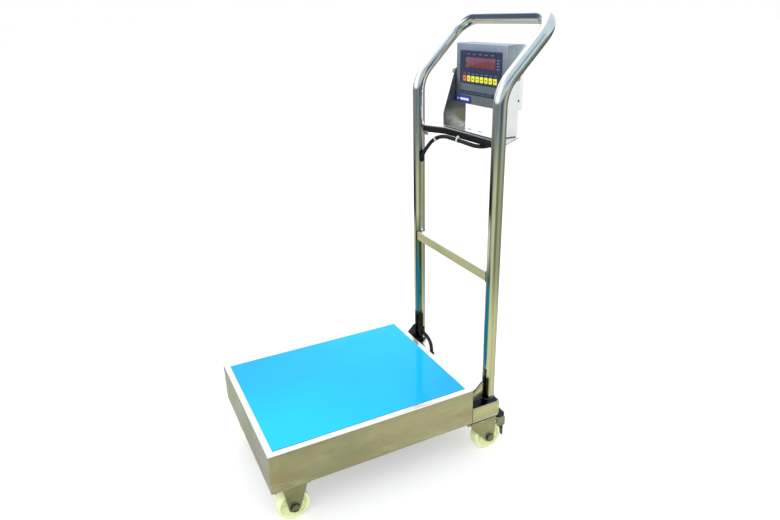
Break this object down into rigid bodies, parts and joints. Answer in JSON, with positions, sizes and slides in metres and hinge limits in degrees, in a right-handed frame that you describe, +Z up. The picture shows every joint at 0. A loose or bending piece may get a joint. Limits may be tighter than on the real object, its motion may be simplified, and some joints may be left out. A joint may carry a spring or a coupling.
{
  "type": "animal weighing scale",
  "caption": "Mobile platform scale: skirted weighing pan on a low base with casters, a bent tube push handle, and a tilting display box in a yoke between its columns.",
  "frame": {"origin": "on the floor, under the centre of the whole object's box", "axes": "+Z up, +Y from the front of the pan towards the handle, +X towards the side with the cable's free side column"},
  "size_m": [0.4, 0.712, 1.0315],
  "materials": {
    "brushed_steel": "satin stainless",
    "polished_steel": "mirror polished stainless",
    "pan_steel": "bright stainless sheet",
    "housing_steel": "brushed stainless",
    "dark_steel": "dark plated",
    "film_blue": "glossy film",
    "nylon": "satin nylon",
    "rubber": "matte",
    "aluminium": "machined",
    "panel_dark": "satin film",
    "display_red": "glossy",
    "key_red": "satin",
    "key_yellow": "satin",
    "board_green": "satin",
    "battery_dark": "matte",
    "cable_black": "satin",
    "tie_pale": "satin"
  },
  "bodies": {
    "root": {"base_rail_left": "brushed_steel", "base_rail_right": "brushed_steel", "base_front_crossmember": "brushed_steel", "load_cell_beam": "brushed_steel", "rear_deck": "brushed_steel", "load_cell_lower_spacer": "brushed_steel", "load_cell_upper_spacer": "brushed_steel", "spider_frame": "brushed_steel", "gusset_left": "brushed_steel", "gusset_right": "brushed_steel", "indicator_shelf": "brushed_steel", "indicator_yoke": "brushed_steel", "front_left_caster_fork": "brushed_steel", "front_right_caster_fork": "brushed_steel", "rear_left_caster_plate": "brushed_steel", "rear_right_caster_plate": "brushed_steel", "handle_frame": "polished_steel", "crossbar": "polished_steel", "front_left_axle_bolt": "dark_steel", "front_right_axle_bolt": "dark_steel", "pan_pad_front_left": "rubber", "pan_pad_front_right": "rubber", "pan_pad_rear_left": "rubber", "pan_pad_rear_right": "rubber", "load_cell": "aluminium", "signal_cable": "cable_black", "indicator_lead": "cable_black", "cable_tie_left": "tie_pale", "cable_tie_middle": "tie_pale"},
    "indicator": {"indicator_housing": "housing_steel", "indicator_rear_cover": "housing_steel", "membrane_panel": "panel_dark", "display_window": "display_red", "circuit_board": "board_green", "battery": "battery_dark", "cable_gland": "cable_black"},
    "weighing_pan": {"weighing_pan": "pan_steel", "protective_film": "film_blue"},
    "key_1": {"key_1": "key_red"},
    "key_2": {"key_2": "key_yellow"},
    "key_3": {"key_3": "key_yellow"},
    "key_4": {"key_4": "key_yellow"},
    "key_5": {"key_5": "key_yellow"},
    "key_6": {"key_6": "key_yellow"},
    "key_7": {"key_7": "key_yellow"},
    "key_8": {"key_8": "key_yellow"},
    "clamp_screw_left": {"clamp_screw_left": "dark_steel"},
    "front_left_wheel": {"front_left_wheel": "nylon"},
    "rear_left_swivel": {"rear_left_caster_fork": "brushed_steel", "rear_left_axle_bolt": "dark_steel"},
    "rear_left_wheel": {"rear_left_wheel": "nylon"},
    "rear_left_brake_pedal": {"rear_left_brake_pedal": "dark_steel"},
    "clamp_screw_right": {"clamp_screw_right": "dark_steel"},
    "front_right_wheel": {"front_right_wheel": "nylon"},
    "rear_right_swivel": {"rear_right_caster_fork": "brushed_steel", "rear_right_axle_bolt": "dark_steel"},
    "rear_right_wheel": {"rear_right_wheel": "nylon"},
    "rear_right_brake_pedal": {"rear_right_brake_pedal": "dark_steel"}
  },
  "joints": [
    {"name": "weighing_pan_lift", "type": "slide", "parent": "root", "child": "weighing_pan", "axis": [0, 0, 1], "range_m": [0, 0.12]},
    {"name": "indicator_tilt", "type": "hinge", "parent": "root", "child": "indicator", "pos_m": [0, 0.283, 0.895], "axis": [-1, 0, 0], "range_deg": [-20, 25], "deforming": ["indicator_lead"]},
    {"name": "key_1_press", "type": "slide", "parent": "indicator", "child": "key_1", "axis": [0, 1, 0], "range_m": [0, 0.0005], "stiffness_N_per_m": 1500},
    {"name": "key_2_press", "type": "slide", "parent": "indicator", "child": "key_2", "axis": [0, 1, 0], "range_m": [0, 0.0005], "stiffness_N_per_m": 1500},
    {"name": "key_3_press", "type": "slide", "parent": "indicator", "child": "key_3", "axis": [0, 1, 0], "range_m": [0, 0.0005], "stiffness_N_per_m": 1500},
    {"name": "key_4_press", "type": "slide", "parent": "indicator", "child": "key_4", "axis": [0, 1, 0], "range_m": [0, 0.0005], "stiffness_N_per_m": 1500},
    {"name": "key_5_press", "type": "slide", "parent": "indicator", "child": "key_5", "axis": [0, 1, 0], "range_m": [0, 0.0005], "stiffness_N_per_m": 1500},
    {"name": "key_6_press", "type": "slide", "parent": "indicator", "child": "key_6", "axis": [0, 1, 0], "range_m": [0, 0.0005], "stiffness_N_per_m": 1500},
    {"name": "key_7_press", "type": "slide", "parent": "indicator", "child": "key_7", "axis": [0, 1, 0], "range_m": [0, 0.0005], "stiffness_N_per_m": 1500},
    {"name": "key_8_press", "type": "slide", "parent": "indicator", "child": "key_8", "axis": [0, 1, 0], "range_m": [0, 0.0005], "stiffness_N_per_m": 1500},
    {"name": "clamp_screw_left_turn", "type": "hinge", "parent": "root", "child": "clamp_screw_left", "pos_m": [-0.106, 0.283, 0.895], "axis": [-1, 0, 0], "range_deg": [0, 360]},
    {"name": "front_left_wheel_spin", "type": "hinge", "parent": "root", "child": "front_left_wheel", "pos_m": [-0.164, -0.305, 0.0375], "axis": [1, 0, 0], "continuous": true},
    {"name": "rear_left_swivel_turn", "type": "hinge", "parent": "root", "child": "rear_left_swivel", "pos_m": [-0.1695, 0.1755, 0.0945], "axis": [0, 0, 1], "continuous": true},
    {"name": "rear_left_wheel_spin", "type": "hinge", "parent": "rear_left_swivel", "child": "rear_left_wheel", "pos_m": [-0.1695, 0.204, 0.0375], "axis": [1, 0, 0], "continuous": true},
    {"name": "rear_left_brake_press", "type": "hinge", "parent": "rear_left_swivel", "child": "rear_left_brake_pedal", "pos_m": [-0.1695, 0.2155, 0.0865], "axis": [-1, 0, 0], "range_deg": [0, 5]},
    {"name": "clamp_screw_right_turn", "type": "hinge", "parent": "root", "child": "clamp_screw_right", "pos_m": [0.106, 0.283, 0.895], "axis": [1, 0, 0], "range_deg": [0, 360]},
    {"name": "front_right_wheel_spin", "type": "hinge", "parent": "root", "child": "front_right_wheel", "pos_m": [0.164, -0.305, 0.0375], "axis": [1, 0, 0], "continuous": true},
    {"name": "rear_right_swivel_turn", "type": "hinge", "parent": "root", "child": "rear_right_swivel", "pos_m": [0.1695, 0.1755, 0.0945], "axis": [0, 0, 1], "continuous": true},
    {"name": "rear_right_wheel_spin", "type": "hinge", "parent": "rear_right_swivel", "child": "rear_right_wheel", "pos_m": [0.1695, 0.204, 0.0375], "axis": [1, 0, 0], "continuous": true},
    {"name": "rear_right_brake_press", "type": "hinge", "parent": "rear_right_swivel", "child": "rear_right_brake_pedal", "pos_m": [0.1695, 0.2155, 0.0865], "axis": [-1, 0, 0], "range_deg": [0, 5]}
  ]
}
